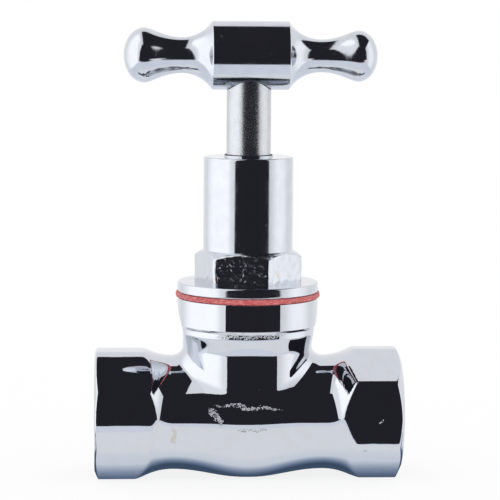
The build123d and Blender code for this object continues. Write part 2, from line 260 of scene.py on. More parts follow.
def linear_colour(hex_text):
    """Linear RGBA of an sRGB hex colour."""
    parts = [int(hex_text[place : place + 2], 16) / 255 for place in (1, 3, 5)]
    linear = [part / 12.92 if part <= 0.04045 else ((part + 0.055) / 1.055) ** 2.4 for part in parts]
    return (*linear, 1.0)


def length_setting(name, description, size):
    """A length among the settings, from its default in millimetres."""
    return bpy.props.FloatProperty(name=name, description=description, default=size * MM, unit="LENGTH")


def angle_setting(name, description, degrees):
    """An angle among the settings, from its default in degrees."""
    return bpy.props.FloatProperty(
        name=name, description=description, default=math.radians(degrees), subtype="ANGLE"
    )


def colour_setting(name, description, hex_text):
    """A colour among the settings, from its default as sRGB hex."""
    return bpy.props.FloatVectorProperty(
        name=name, description=description, default=linear_colour(hex_text), subtype="COLOR", size=4
    )


class ShapeSettings(bpy.types.PropertyGroup):
    """Sizes of the hand work on the pieces."""

    side_blend: length_setting("Side blend", "Hollow round of the neck over the pipe", 2.6)
    front_blend: length_setting("Front blend", "Hollow round of the neck at front and back", 4.0)
    ripple_length: length_setting("Ripple length", "Length of the ripple that polishing leaves", 5.0)
    ripple_depth: length_setting("Ripple depth", "Depth of the ripple that polishing leaves", 0.006)
    forge_length: length_setting("Forging length", "Size of the dents in the hexagon", 1.4)
    forge_depth: length_setting("Forging depth", "Depth of the dents in the hexagon", 0.08)
    washer_fray: length_setting("Washer fray", "Unevenness of the washer's cut edge", 0.12)


class ColourSettings(bpy.types.PropertyGroup):
    """Colours of the materials."""

    chrome: colour_setting("Chrome", "Chrome plate", "#CED2DA")
    stem: colour_setting("Stem", "Satin plate of the stem", "#C8CBD0")
    brass: colour_setting("Brass", "Bare brass", "#C9A24E")
    fibre: colour_setting("Fibre", "Fibre of the washer", "#C4474C")
    pale_fibre: colour_setting("Pale fibre", "Fibres at the washer's edge", "#E08A88")
    stain: colour_setting("Stain", "Dried drips on the chrome", "#C6C3BE")
    rubber: colour_setting("Rubber", "Rubber of the rings", "#1E1E20")


class StageSettings(bpy.types.PropertyGroup):
    """Place of the camera."""

    lens: bpy.props.FloatProperty(name="Lens", description="Focal length in millimetres", default=158.4)
    distance: length_setting("Distance", "Level distance from the spindle", 450.2)
    height: length_setting("Height", "Height of the lens", 96.4)
    side_step: length_setting("Side step", "How far the camera stands to the right", 0.425)
    turn: angle_setting("Turn", "How far the camera stands round to the left", 3.3)
    pitch: angle_setting("Pitch", "How far the camera looks down", 6.3)
    roll: angle_setting("Roll", "How far the camera leans to its left", 0.4)


def fill(tree, node, inputs):
    """Fills a node's inputs with values or links."""
    for socket, value in inputs.items():
        if isinstance(value, bpy.types.NodeSocket):
            tree.links.new(value, node.inputs[socket])
        else:
            node.inputs[socket].default_value = value


def add_node(tree, kind, inputs=None, **settings):
    """Adds a shader node of a kind, sets its properties and fills its inputs."""
    made = tree.nodes.new(f"ShaderNode{kind}")
    for name, value in settings.items():
        setattr(made, name, value)
    fill(tree, made, inputs or {})
    return made


def empty_material(name):
    """A material without nodes, and its node tree."""
    material = bpy.data.materials.new(name)
    material.use_nodes = True
    material.node_tree.nodes.clear()
    return material, material.node_tree


def new_material(name):
    """A material with a linked Principled shader, and its tree, its shader and the place on the object."""
    material, tree = empty_material(name)
    shader = add_node(tree, "BsdfPrincipled")
    add_node(tree, "OutputMaterial", {"Surface": shader.outputs["BSDF"]})
    place = add_node(tree, "TexCoord").outputs["Object"]
    return material, tree, shader, place


def shaded(colour, share):
    """A colour made darker or lighter by a share."""
    return (*(part * share for part in colour[:3]), 1.0)


def patch(tree, place, centre, reach, turn):
    """Soft mask of an oval patch: its centre and reach in millimetres and its turn about Y in degrees."""
    mapped = add_node(
        tree, "Mapping",
        {
            "Vector": place, "Location": [size * MM for size in centre],
            "Rotation": (0.0, math.radians(turn), 0.0), "Scale": [size * MM for size in reach],
        },
        vector_type="TEXTURE",
    )
    distance = add_node(tree, "VectorMath", {0: mapped.outputs["Vector"]}, operation="LENGTH")
    soft = add_node(
        tree, "MapRange",
        {"Value": distance.outputs["Value"], "From Min": 1.0, "From Max": PATCH_CORE},
        interpolation_type="SMOOTHSTEP",
    )
    return soft.outputs["Result"]


def together(tree, masks, operation):
    """One mask from several masks or numbers by a Math operation."""
    total = masks[0]
    for mask in masks[1:]:
        total = add_node(tree, "Math", {0: total, 1: mask}, operation=operation).outputs["Value"]
    return total


def speckle(tree, place, size, low, high):
    """Mask of scattered spots of a noise, about a size in millimetres, between two levels of the noise."""
    grain = add_node(tree, "TexNoise", {"Vector": place, "Scale": 1 / (size * MM), "Detail": 3.0})
    spots = add_node(
        tree, "MapRange", {"Value": grain.outputs["Fac"], "From Min": low, "From Max": high}
    )
    return spots.outputs["Result"]


def mixed_colour(tree, share, first, second):
    """Colour socket that goes from one colour to another by a mask."""
    mix = add_node(tree, "Mix", {"Factor": share, "A": first, "B": second}, data_type="RGBA")
    return mix.outputs["Result"]


def polished_chrome(colour, stain):
    """Chrome plate polished by hand over a casting: a mirror with faint haze.

    The eye finds rows of casting pits at the belly and under the collar's ledge, a dried drip and a scuff.
    """
    material, tree, shader, place = new_material("polished_chrome_plate")
    wobble = add_node(tree, "TexNoise", {"Vector": place, "Scale": 1 / (2.2 * MM), "Detail": 2.0})
    sway = add_node(
        tree, "VectorMath", {0: wobble.outputs["Color"], 1: (0.5, 0.5, 0.5)}, operation="SUBTRACT"
    )
    shift = add_node(
        tree, "VectorMath", {0: sway.outputs["Vector"], "Scale": 2.4 * MM}, operation="SCALE"
    )
    wavy = add_node(
        tree, "VectorMath", {0: place, 1: shift.outputs["Vector"]}, operation="ADD"
    ).outputs["Vector"]
    pitted = together(tree, [patch(tree, wavy, *spot) for spot in PITTED_PATCHES], "MAXIMUM")
    pits = together(tree, [pitted, speckle(tree, place, size=0.32, low=0.48, high=0.62)], "MULTIPLY")
    scuff = patch(tree, place, *SCUFF_PATCH)
    drip = patch(tree, wavy, *DRIP_PATCH)
    dust = speckle(tree, place, size=0.4, low=0.76, high=0.8)
    haze = speckle(tree, place, size=3.0, low=0.42, high=2.0)
    marks = together(tree, [pits, scuff, dust], "MAXIMUM")
    rough = add_node(tree, "MapRange", {"Value": marks, "To Min": 0.025, "To Max": 0.3})
    hazed = together(tree, [haze, HAZE_ROUGHNESS], "MULTIPLY")
    peel = add_node(tree, "TexNoise", {"Vector": place, "Scale": 1 / (2.5 * MM), "Detail": 1.0})
    waves = add_node(tree, "Bump", {"Height": peel.outputs["Fac"], "Distance": 0.006 * MM})
    holes = add_node(
        tree, "Bump",
        {"Height": pits, "Distance": 0.06 * MM, "Normal": waves.outputs["Normal"]}, invert=True,
    )
    fill(tree, shader, {
        "Base Color": mixed_colour(tree, together(tree, [haze, drip], "MAXIMUM"), colour, stain),
        "Metallic": 1.0,
        "Roughness": together(tree, [rough.outputs["Result"], hazed], "ADD"),
        "Normal": holes.outputs["Normal"],
    })
    return material


def turned_chrome(colour, axis):
    """Chrome plate over turned bar: a mirror drawn out along the bar by the fine rings of the lathe.

    Real rings are about 0.05 mm apart, too fine to show, so they are drawn at 0.12 to 0.4 mm.
    """
    material, tree, shader, place = new_material(f"turned_chrome_plate_{axis.lower()}")
    along = add_node(tree, "SeparateXYZ", {"Vector": place}).outputs[axis]
    rings = [
        add_node(
            tree, "TexNoise", {"W": along, "Scale": 1 / (size * MM), "Detail": 2.0},
            noise_dimensions="1D",
        ).outputs["Fac"]
        for size in (0.12, 0.4)
    ]
    chips = speckle(tree, place, size=0.4, low=0.74, high=0.82)
    haze = speckle(tree, place, size=2.5, low=0.35, high=0.75)
    marks = together(tree, [haze, chips], "MAXIMUM")
    rough = add_node(tree, "MapRange", {"Value": marks, "To Min": 0.07, "To Max": 0.14})
    ring = together(tree, rings, "ADD")
    grooves = add_node(tree, "Bump", {"Height": ring, "Distance": 0.0035 * MM})
    nicks = add_node(
        tree, "Bump",
        {"Height": chips, "Distance": 0.02 * MM, "Normal": grooves.outputs["Normal"]}, invert=True,
    )
    fill(tree, shader, {
        "Base Color": mixed_colour(tree, haze, colour, shaded(colour, share=0.93)),
        "Metallic": 1.0,
        "Roughness": rough.outputs["Result"],
        "Normal": nicks.outputs["Normal"],
    })
    return material


def forged_chrome(colour, brass):
    """Chrome plate over flats left as forged: mottled and pitted, with brass where it has worn through."""
    material, tree, shader, place = new_material("forged_chrome_plate")
    pits = speckle(tree, place, size=0.7, low=0.58, high=0.75)
    lumps = add_node(tree, "TexNoise", {"Vector": place, "Scale": 1 / (1.3 * MM), "Detail": 4.0})
    worn = together(tree, [patch(tree, place, *spot) for spot in WORN_PATCHES], "MAXIMUM")
    bare = together(tree, [worn, speckle(tree, place, size=0.6, low=0.42, high=0.9)], "MULTIPLY")
    rough = add_node(tree, "MapRange", {"Value": pits, "To Min": 0.12, "To Max": 0.3})
    mottled = add_node(tree, "Bump", {"Height": lumps.outputs["Fac"], "Distance": 0.05 * MM})
    pitted = add_node(
        tree, "Bump",
        {"Height": pits, "Distance": 0.025 * MM, "Normal": mottled.outputs["Normal"]}, invert=True,
    )
    fill(tree, shader, {
        "Base Color": mixed_colour(tree, bare, colour, brass),
        "Metallic": 1.0,
        "Roughness": rough.outputs["Result"],
        "Normal": pitted.outputs["Normal"],
    })
    return material


def satin_chrome(colour):
    """Chrome plate over a stem that was only turned: a soft, speckled mirror with faint rings."""
    material, tree, shader, place = new_material("satin_chrome_plate")
    along = add_node(tree, "SeparateXYZ", {"Vector": place}).outputs["Z"]
    rings = add_node(
        tree, "TexNoise", {"W": along, "Scale": 1 / (0.25 * MM), "Detail": 3.0},
        noise_dimensions="1D",
    )
    specks = speckle(tree, place, size=0.28, low=0.55, high=0.7)
    tarnish = speckle(tree, place, size=1.6, low=0.45, high=0.75)
    dull = together(tree, [specks, tarnish], "MAXIMUM")
    rough = add_node(tree, "MapRange", {"Value": specks, "To Min": 0.25, "To Max": 0.32})
    grooves = add_node(tree, "Bump", {"Height": rings.outputs["Fac"], "Distance": 0.006 * MM})
    grainy = add_node(
        tree, "Bump",
        {"Height": specks, "Distance": 0.006 * MM, "Normal": grooves.outputs["Normal"]},
    )
    fill(tree, shader, {
        "Base Color": mixed_colour(tree, dull, colour, shaded(colour, share=0.9)),
        "Metallic": 1.0,
        "Roughness": rough.outputs["Result"],
        "Normal": grainy.outputs["Normal"],
    })
    return material


def red_fibre(colour, pale):
    """Vulcanised fibre, cut from sheet: matt, with short paper fibres that pale at its cut edge."""
    material, tree, shader, place = new_material("vulcanised_red_fibre")
    lying = add_node(tree, "Mapping", {"Vector": place, "Scale": (1.0, 1.0, 5.0)}).outputs["Vector"]
    fibres = speckle(tree, lying, size=0.9, low=0.4, high=0.68)
    tufts = speckle(tree, place, size=0.35, low=0.56, high=0.7)
    fuzz = add_node(tree, "Bump", {"Height": fibres, "Distance": 0.06 * MM})
    fill(tree, shader, {
        "Base Color": mixed_colour(tree, together(tree, [fibres, tufts], "MAXIMUM"), colour, pale),
        "Roughness": 0.8,
        "Sheen Weight": 0.15,
        "Normal": fuzz.outputs["Normal"],
    })
    return material


def machined_brass(colour):
    """Brass left bare where it was cut after plating: yellow, with tool marks and a brown bloom."""
    material, tree, shader, place = new_material("machined_brass")
    bloom = speckle(tree, place, size=2.0, low=0.35, high=0.75)
    rough = add_node(tree, "MapRange", {"Value": bloom, "To Min": 0.22, "To Max": 0.45})
    marks = add_node(tree, "TexNoise", {"Vector": place, "Scale": 1 / (0.3 * MM), "Detail": 2.0})
    cut = add_node(tree, "Bump", {"Height": marks.outputs["Fac"], "Distance": 0.01 * MM})
    fill(tree, shader, {
        "Base Color": mixed_colour(tree, bloom, colour, shaded(colour, share=0.55)),
        "Metallic": 1.0,
        "Roughness": rough.outputs["Result"],
        "Normal": cut.outputs["Normal"],
    })
    return material


def black_rubber(colour):
    """Moulded nitrile rubber: near black and dull, with a grey dusting."""
    material, tree, shader, place = new_material("moulded_nitrile_rubber")
    dusting = speckle(tree, place, size=0.8, low=0.5, high=0.8)
    rough = add_node(tree, "MapRange", {"Value": dusting, "To Min": 0.55, "To Max": 0.8})
    fill(tree, shader, {
        "Base Color": mixed_colour(tree, dusting, colour, shaded(colour, share=2.2)),
        "Roughness": rough.outputs["Result"],
    })
    return material


def turned(outline, centre, axis, steps, easing=0.0, eased=(), spacing=None):
    """Closed bmesh turned about an axis from an outline of places along it and radii, in millimetres.

    The outline's corners that eased lists are rounded, and edges longer than spacing are divided.
    """
    along = Vector(axis)
    out = Vector((along.z, 0.0, along.x))
    shape = bmesh.new()
    corners = [shape.verts.new(centre + (along * place + out * radius) * MM) for place, radius in outline]
    is_ring = outline[0][1] > 0 or outline[-1][1] > 0
    ends = corners[1:] + corners[:1] if is_ring else corners[1:]
    for pair in zip(corners, ends):
        shape.edges.new(pair)
    if eased:
        bmesh.ops.bevel(
            shape, geom=[corners[place] for place in eased], offset=easing * MM, offset_type="OFFSET",
            segments=EASING_SEGMENTS, profile=ROUND_PROFILE, affect="VERTICES", material=-1,
        )
    if spacing:
        for edge in shape.edges[:]:
            cuts = int(edge.calc_length() / MM / spacing)
            if cuts:
                bmesh.ops.subdivide_edges(shape, edges=[edge], cuts=cuts)
    bmesh.ops.spin(
        shape, geom=shape.verts[:] + shape.edges[:], cent=centre, axis=along, angle=math.tau, steps=steps,
        use_merge=True,
    )
    bmesh.ops.remove_doubles(shape, verts=shape.verts, dist=MERGE_DISTANCE)
    bmesh.ops.recalc_face_normals(shape, faces=shape.faces)
    return shape


def press_flats(verts, centre, axis, flats, crispness):
    """Presses flats into turned stock and leaves eased edges between them.

    Each flat is the direction that it faces and its distance from the axis.
    """
    for vert in verts:
        offset = (vert.co - centre) / MM
        offset -= axis * offset.dot(axis)
        reach = sum(max(offset.dot(facing) / distance, 0.0) ** crispness for facing, distance in flats)
        squeeze = (1 + reach) ** (1 / crispness)
        vert.co -= offset * (1 - 1 / squeeze) * MM


def ripple(verts, wavelength, depth):
    """Moves vertices along their normals by a slow noise, both sizes in millimetres."""
    moves = [(vert, vert.normal * noise.noise(vert.co / MM / wavelength)) for vert in verts]
    for vert, move in moves:
        vert.co += move * depth * MM


def meshed(name, shape, materials):
    """A new object made from a bmesh, which is freed, with its materials."""
    mesh = bpy.data.meshes.new(name)
    shape.to_mesh(mesh)
    shape.free()
    for material in materials:
        mesh.materials.append(material)
    made = bpy.data.objects.new(name, mesh)
    bpy.context.scene.collection.objects.link(made)
    return made


def combined(stock, tool, operation):
    """Bmesh that a Boolean makes of two others, whose faces keep their material numbers."""
    things = [meshed("operand", shape, [None] * BODY_FINISHES) for shape in (stock, tool)]
    joint = things[0].modifiers.new("combined", "BOOLEAN")
    joint.object = things[1]
    joint.operation = operation
    joint.solver = "EXACT"
    evaluated = things[0].evaluated_get(bpy.context.evaluated_depsgraph_get())
    result = bmesh.new()
    result.from_mesh(evaluated.to_mesh())
    evaluated.to_mesh_clear()
    for thing in things:
        mesh = thing.data
        bpy.data.objects.remove(thing)
        bpy.data.meshes.remove(mesh)
    many_sided = [face for face in result.faces if len(face.verts) > QUAD_CORNERS]
    bmesh.ops.triangulate(result, faces=many_sided)
    return result


def finished(name, shape, materials, body, slot, *nodes):
    """Makes a piece from a bmesh, with its finishes, its body and the nodes that it stands for."""
    if not shape.faces:
        raise RuntimeError(f"{name} came out empty")
    piece = meshed(name, shape, materials)
    piece.data.shade_smooth()
    piece.data.set_sharp_from_angle(angle=SHARP_ANGLE)
    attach(piece, body)
    if nodes:
        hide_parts(*nodes)


def run_radius(place, flare_radius=LONG_FLARE):
    """Radius of the pipe run at a place along it, before its flats are ground."""
    reach = abs(place)
    if reach <= WAIST_PLACE:
        swell = (1 + math.cos(math.pi * reach / WAIST_PLACE)) / 2
        return WAIST_RADIUS + (BELLY_RADIUS - WAIST_RADIUS) * swell
    rise = min(reach - WAIST_PLACE, flare_radius)
    flare = WAIST_RADIUS + flare_radius - math.sqrt(flare_radius**2 - rise**2)
    left = (LEFT_FACE_RADIUS, LEFT_CHAMFER_SLOPE)
    right = (RIGHT_FACE_RADIUS, RIGHT_CHAMFER_SLOPE)
    face, slope = left if place < 0 else right
    chamfer = face + max(HALF_LENGTH - reach, 0.0) / slope
    return min(flare, RIM_RADIUS, chamfer)


def tighten_flares(verts):
    """Draws the flares in at the front and back, where they rise more steeply than above and below."""
    for vert in verts:
        out = (vert.co - PIPE_CENTRE) / MM
        out.x = 0.0
        if out.length > SOCKET_RADIUS:
            facing = max(math.cos(math.atan2(out.z, abs(out.y)) - TIGHT_FLARE_ANGLE), 0.0) ** 2
            flare = LONG_FLARE + (TIGHT_FLARE - LONG_FLARE) * facing
            vert.co += out * (run_radius(vert.co.x / MM, flare) / out.length - 1) * MM


def neck_radius(height):
    """Radius of the neck and collar at a height, before the collar's sides are ground."""
    lip = COLLAR_RADIUS - LEDGE_WIDTH
    taper_top = LEDGE - LEDGE_WIDTH - LEDGE_BAND
    share = min(max((height - taper_top + NECK_TAPER) / NECK_TAPER, 0.0), 1.0)
    easing = NECK_TAPER_RISE - NECK_TAPER_EASE * share
    taper = NECK_RADIUS + (lip - NECK_RADIUS) * share**2 * easing
    ledge = min(max(height - LEDGE + LEDGE_WIDTH, 0.0), LEDGE_WIDTH)
    return min(taper + ledge, COLLAR_RADIUS - COLLAR_CHAMFER + COLLAR_TOP - height)


def side_reach(height):
    """How far the collar reaches to each side at a height, where it is ground to a taper."""
    drop = min(SIDE_TAPER_TOP - height, SIDE_TAPER_HEIGHT)
    return COLLAR_RADIUS - SIDE_TAPER_SLOPE * drop


def even_places(start, end, spacing):
    """Places from one end to just before the other, about a spacing apart."""
    count = math.ceil((end - start) / spacing)
    return [start + (end - start) * number / count for number in range(count)]


def outline_of(radius_at, places):
    """Outline of a solid of revolution from its radius at places along its axis."""
    return [(places[0], 0.0), *((place, radius_at(place)) for place in places), (places[-1], 0.0)]


def gap_to(radius_at, place, axis, out):
    """Distance from a turned surface and the direction away from it, in millimetres.

    The place is along the surface's axis, and out leads from the axis to the point.
    """
    slope = (radius_at(place + SLOPE_STEP) - radius_at(place - SLOPE_STEP)) / (2 * SLOPE_STEP)
    away = out.normalized() - axis * slope
    return (out.length - radius_at(place)) / away.length, away.normalized()


def near_junction(place):
    """Whether a place lies where the neck may meet the run."""
    return abs(place.x) < WAIST_PLACE and PIPE_AXIS < place.z < LEDGE - LEDGE_WIDTH - LEDGE_BAND


def on_blend(place, side_radius, front_radius):
    """Place moved onto the hollow round where the neck rises from the run, wider at front and back."""
    out_of_run = Vector((0.0, place.y, place.z - PIPE_AXIS))
    out_of_neck = Vector((place.x, place.y, 0.0))
    run_gap, from_run = gap_to(run_radius, place.x, X_AXIS, out_of_run)
    neck_gap, from_neck = gap_to(neck_radius, place.z, Z_AXIS, out_of_neck)
    facing = (place.y / out_of_neck.length) ** 2
    radius = side_radius + (front_radius - side_radius) * facing
    lean = from_run.dot(from_neck)
    spread = max(1 - lean**2, SMALLEST_SPREAD)
    run_share = (radius - run_gap - lean * (radius - neck_gap)) / spread
    neck_share = (radius - neck_gap - lean * (radius - run_gap)) / spread
    if run_share <= 0 or neck_share <= 0:
        return place
    arm = from_run * run_share + from_neck * neck_share
    return place + arm - arm.normalized() * radius


def body_outside(settings):
    """The casting's outside: the run with its ground flats, the neck and the round between them."""
    end = HALF_LENGTH - RUN_END_LENGTH
    places = even_places(-HALF_LENGTH, -end, RUN_END_SPACING) + even_places(-end, end, RUN_SPACING)
    places += even_places(end, HALF_LENGTH, RUN_END_SPACING) + [HALF_LENGTH]
    run = turned(outline_of(run_radius, places), PIPE_CENTRE, X_AXIS, RUN_STEPS)
    ends = (
        (LEFT_FLATS, LEFT_FLAT_CRISPNESS, [vert for vert in run.verts if vert.co.x < -WAIST_PLACE * MM]),
        (RIGHT_FLATS, RIGHT_FLAT_CRISPNESS, [vert for vert in run.verts if vert.co.x > WAIST_PLACE * MM]),
    )
    for flats, crispness, verts in ends:
        around = [(math.radians(angle), distance) for angle, distance in flats]
        front = [(Vector((0.0, -math.cos(angle), math.sin(angle))), distance) for angle, distance in around]
        between = around[1:-1]
        back = [(Vector((0.0, math.cos(angle), math.sin(angle))), distance) for angle, distance in between]
        tighten_flares(verts)
        press_flats(verts, PIPE_CENTRE, X_AXIS, front + back, crispness)
    heights = even_places(PIPE_AXIS, COLLAR_TOP, NECK_SPACING) + [COLLAR_TOP]
    neck = turned(outline_of(neck_radius, heights), ORIGIN, Z_AXIS, NECK_STEPS)
    for vert in neck.verts:
        if vert.co.z / MM < SIDE_TAPER_TOP + SIDE_TAPER_HEIGHT:
            sides = ((X_AXIS, side_reach(vert.co.z / MM)), (-X_AXIS, side_reach(vert.co.z / MM)))
            press_flats([vert], ORIGIN, Z_AXIS, sides, SIDE_CRISPNESS)
    casting = combined(run, neck, "UNION")
    junction = [vert for vert in casting.verts if near_junction(vert.co / MM)]
    bmesh.ops.remove_doubles(casting, verts=junction, dist=JUNCTION_MERGE)
    for vert in casting.verts:
        if near_junction(vert.co / MM):
            for step in range(BLEND_STEPS):
                vert.co = on_blend(vert.co / MM, settings.side_blend / MM, settings.front_blend / MM) * MM
    casting.normal_update()
    ripple(casting.verts, settings.ripple_length / MM, settings.ripple_depth / MM)
    for vert in casting.verts:
        vert.co.x = min(max(vert.co.x, BODY_LOW.x), BODY_HIGH.x)
        vert.co.z = max(vert.co.z, 0.0)
    return casting


def pipe_hollow(side):
    """Socket and bore of one pipe end."""
    bottom = HALF_LENGTH - SOCKET_DEPTH
    outline = (
        (side * (HALF_LENGTH + CUT_OVERRUN), 0.0),
        (side * (HALF_LENGTH + CUT_OVERRUN), SOCKET_RADIUS + SOCKET_CHAMFER + CUT_OVERRUN),
        (side * (HALF_LENGTH - SOCKET_CHAMFER), SOCKET_RADIUS),
        (side * bottom, SOCKET_RADIUS),
        (side * bottom, BORE_RADIUS),
        (side * CHAMBER_WALL, BORE_RADIUS),
        (side * CHAMBER_WALL, 0.0),
    )
    return turned(outline, PIPE_CENTRE, X_AXIS, HOLLOW_STEPS)


def passage(start, end, bottom, top):
    """Oval waterway along X between two places."""
    shape = bmesh.new()
    middle = Vector(((start + end) / 2, 0.0, (bottom + top) / 2)) * MM
    size = Matrix.Diagonal(((end - start) * MM, PASSAGE_WIDTH * MM, (top - bottom) * MM, 1.0))
    bmesh.ops.create_cube(shape, size=1.0, matrix=Matrix.Translation(middle) @ size)
    long_edges = [
        edge for edge in shape.edges if abs(edge.verts[0].co.x - edge.verts[1].co.x) > MERGE_DISTANCE
    ]
    bmesh.ops.bevel(
        shape, geom=long_edges, offset=PASSAGE_CORNER * MM, offset_type="OFFSET", segments=PASSAGE_SEGMENTS,
        profile=ROUND_PROFILE, affect="EDGES", material=-1,
    )
    return shape


def chamber():
    """Room over the seat and the hole that the bonnet screws into."""
    outline = (
        (BRIDGE_BOTTOM - CUT_OVERRUN, 0.0),
        (BRIDGE_BOTTOM - CUT_OVERRUN, SEAT_HOLE_RADIUS),
        (SEAT_TOP, SEAT_HOLE_RADIUS),
        (SEAT_TOP, SEAT_RING_RADIUS),
        (BRIDGE_TOP, SEAT_RING_RADIUS),
        (BRIDGE_TOP, CHAMBER_RADIUS),
        (CHAMBER_TOP, CHAMBER_RADIUS),
        (CHAMBER_TOP, BONNET_THREAD_RADIUS),
        (COLLAR_TOP - THREAD_CHAMFER, BONNET_THREAD_RADIUS),
        (COLLAR_TOP + CUT_OVERRUN, BONNET_THREAD_RADIUS + THREAD_CHAMFER + CUT_OVERRUN),
        (COLLAR_TOP + CUT_OVERRUN, 0.0),
    )
    return turned(outline, ORIGIN, Z_AXIS, HOLLOW_STEPS)


class STOPCOCK_OT_body(bpy.types.Operator):
    """Casts the body: belly, flats, neck and collar, with the waterway and seat cut in bare brass."""

    bl_idname = "stopcock.body"
    bl_label = "Cast body"

    def execute(self, context):
        colours = context.scene.stopcock_colours
        casting = body_outside(context.scene.stopcock_shapes)
        meeting = CHAMBER_WALL + CUT_OVERRUN
        hollow = chamber()
        for room in (
            pipe_hollow(-1),
            pipe_hollow(1),
            passage(-meeting, SEAT_RING_RADIUS, LOWER_PASSAGE_BOTTOM, BRIDGE_BOTTOM),
            passage(SEAT_RING_RADIUS, meeting, BRIDGE_TOP, UPPER_PASSAGE_TOP),
        ):
            hollow = combined(hollow, room, "UNION")
        for face in hollow.faces:
            face.material_index = 1
        casting = combined(casting, hollow, "DIFFERENCE")
        finishes = (polished_chrome(colours.chrome, colours.stain), machined_brass(colours.brass))
        finished("cast_body", casting, finishes, "body", "polished_chrome", "valve_body")
        return {"FINISHED"}


def pipe_thread(side):
    """Right-handed pipe thread standing in a socket, as one ridge wound along it."""
    flank = PIPE_THREAD_PITCH / 2
    root = SOCKET_RADIUS + PIPE_THREAD_SINK
    crest = SOCKET_RADIUS - PIPE_THREAD_DEPTH
    start = side * (HALF_LENGTH - SOCKET_CHAMFER - flank)
    outline = ((-flank, root), (-flank * CREST_SHARE, crest), (flank * CREST_SHARE, crest), (flank, root))
    shape = bmesh.new()
    corners = [Vector((start + place, 0.0, PIPE_AXIS + radius)) * MM for place, radius in outline]
    profile = shape.faces.new([shape.verts.new(corner) for corner in corners])
    turns = (SOCKET_DEPTH - SOCKET_CHAMFER - PIPE_THREAD_PITCH) / PIPE_THREAD_PITCH
    steps = int(turns * THREAD_STEPS)
    step_along = -side * PIPE_THREAD_PITCH / THREAD_STEPS * MM
    bmesh.ops.spin(
        shape, geom=[profile], cent=PIPE_CENTRE, axis=X_AXIS, dvec=X_AXIS * step_along,
        angle=-side * math.tau * steps / THREAD_STEPS, steps=steps,
    )
    bmesh.ops.recalc_face_normals(shape, faces=shape.faces)
    return shape


class STOPCOCK_OT_socket_threads(bpy.types.Operator):
    """Cuts the pipe thread into both sockets."""

    bl_idname = "stopcock.socket_threads"
    bl_label = "Socket threads"

    def execute(self, context):
        brass = machined_brass(context.scene.stopcock_colours.brass)
        for name, side in (("inlet_thread", -1), ("outlet_thread", 1)):
            finished(name, pipe_thread(side), (brass,), "body", "plain_brass")
        return {"FINISHED"}


def on_hexagon(place):
    """Whether a place on the bonnet belongs to its hexagon."""
    reach = Vector((place.x, place.y)).length / MM
    is_level = FLANGE_TOP - SLOPE_STEP < place.z / MM < HEXAGON_TOP + SLOPE_STEP
    return is_level and BARREL_RADIUS - SLOPE_STEP < reach < RIM_LIMIT


class STOPCOCK_OT_bonnet(bpy.types.Operator):
    """Turns the bonnet from bar and presses its hexagon, with the flats left as forged."""

    bl_idname = "stopcock.bonnet"
    bl_label = "Bonnet"

    def execute(self, context):
        colours = context.scene.stopcock_colours
        settings = context.scene.stopcock_shapes
        corner_radius = HEXAGON_FLAT_DISTANCE / math.cos(math.pi / HEXAGON_SIDES)
        outline = (
            (BONNET_BOTTOM, NOSE_BORE_RADIUS),
            (BONNET_BOTTOM, BONNET_RADIUS - THREAD_CHAMFER),
            (BONNET_BOTTOM + THREAD_CHAMFER, BONNET_RADIUS),
            (FLANGE_BOTTOM, BONNET_RADIUS),
            (FLANGE_BOTTOM, COLLAR_RADIUS),
            (FLANGE_TOP, COLLAR_RADIUS),
            (FLANGE_TOP, corner_radius),
            (HEXAGON_TOP - HEXAGON_CHAMFER_DROP, corner_radius),
            (HEXAGON_TOP, BARREL_RADIUS),
            (BARREL_TOP, BARREL_RADIUS),
            (BARREL_TOP, MOUTH_RADIUS),
            (MOUTH_TOP, MOUTH_RADIUS),
            (MOUTH_TOP, DUST_SEAL_RADIUS),
            (MOUTH_TOP - DUST_SEAL_DEPTH, DUST_SEAL_RADIUS),
            (MOUTH_TOP - DUST_SEAL_DEPTH, GLAND_RADIUS),
            (GLAND_BOTTOM, GLAND_RADIUS),
            (GLAND_BOTTOM, SPINDLE_THREAD_RADIUS),
            (BONNET_BOTTOM + NOSE_BORE_DEPTH, SPINDLE_THREAD_RADIUS),
            (BONNET_BOTTOM + NOSE_BORE_DEPTH, NOSE_BORE_RADIUS),
        )
        shape = turned(
            outline, ORIGIN, Z_AXIS, TURNED_STEPS,
            easing=BONNET_EASING, eased=BONNET_EASED_CORNERS, spacing=BONNET_SPACING,
        )
        band = [vert for vert in shape.verts if on_hexagon(vert.co)]
        flat_turn = math.degrees(math.tau) / HEXAGON_SIDES
        around = [math.radians(HEXAGON_TURN + flat_turn * (side + 0.5)) for side in range(HEXAGON_SIDES)]
        flats = [(Vector((math.cos(angle), math.sin(angle), 0.0)), HEXAGON_FLAT_DISTANCE) for angle in around]
        press_flats(band, ORIGIN, Z_AXIS, flats, HEXAGON_CRISPNESS)
        shape.normal_update()
        forged = [vert for vert in band if FLANGE_TOP < vert.co.z / MM < HEXAGON_TOP - BONNET_SPACING]
        ripple(forged, settings.forge_length / MM, settings.forge_depth / MM)
        for face in shape.faces:
            if all(on_hexagon(vert.co) for vert in face.verts):
                face.material_index = 1
        finishes = (turned_chrome(colours.chrome, "Z"), forged_chrome(colours.chrome, colours.brass))
        finished("turned_bonnet", shape, finishes, "body", "polished_chrome", "bonnet")
        return {"FINISHED"}


